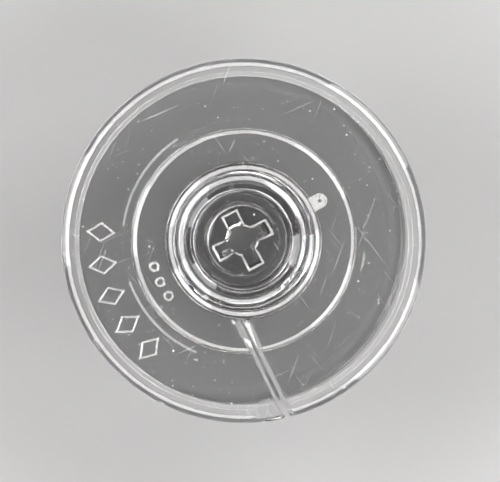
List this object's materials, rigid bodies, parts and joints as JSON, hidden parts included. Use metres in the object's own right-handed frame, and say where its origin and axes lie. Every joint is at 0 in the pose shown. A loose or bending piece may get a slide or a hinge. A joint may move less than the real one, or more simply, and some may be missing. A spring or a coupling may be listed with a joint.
{
  "type": "sewing machine bobbin",
  "caption": "Clear plastic sewing bobbin that comes apart: a slotted upper flange on a sleeve screws onto a lower flange with a threaded core and a notched drive hole.",
  "frame": {"origin": "on the winding axis, at the underside of the lower flange", "axes": "+Z along the winding axis, towards the larger slotted flange; +X to the right of the view from above, with the slot's mouth near -Y"},
  "size_m": [0.0254, 0.0254, 0.0108],
  "materials": {
    "upper_clear_plastic": "clear moulded plastic, polished, with fine scratches",
    "lower_clear_plastic": "clear moulded plastic, polished, with fine scratches"
  },
  "bodies": {
    "lower": {"lower_section": "lower_clear_plastic"},
    "upper": {"upper_section": "upper_clear_plastic"}
  },
  "joints": [
    {"name": "section_unscrew", "type": "hinge", "parent": "lower", "child": "upper", "pos_m": [0, 0, 0.005], "axis": [0, 0, 1], "range_deg": [0, 90]}
  ]
}
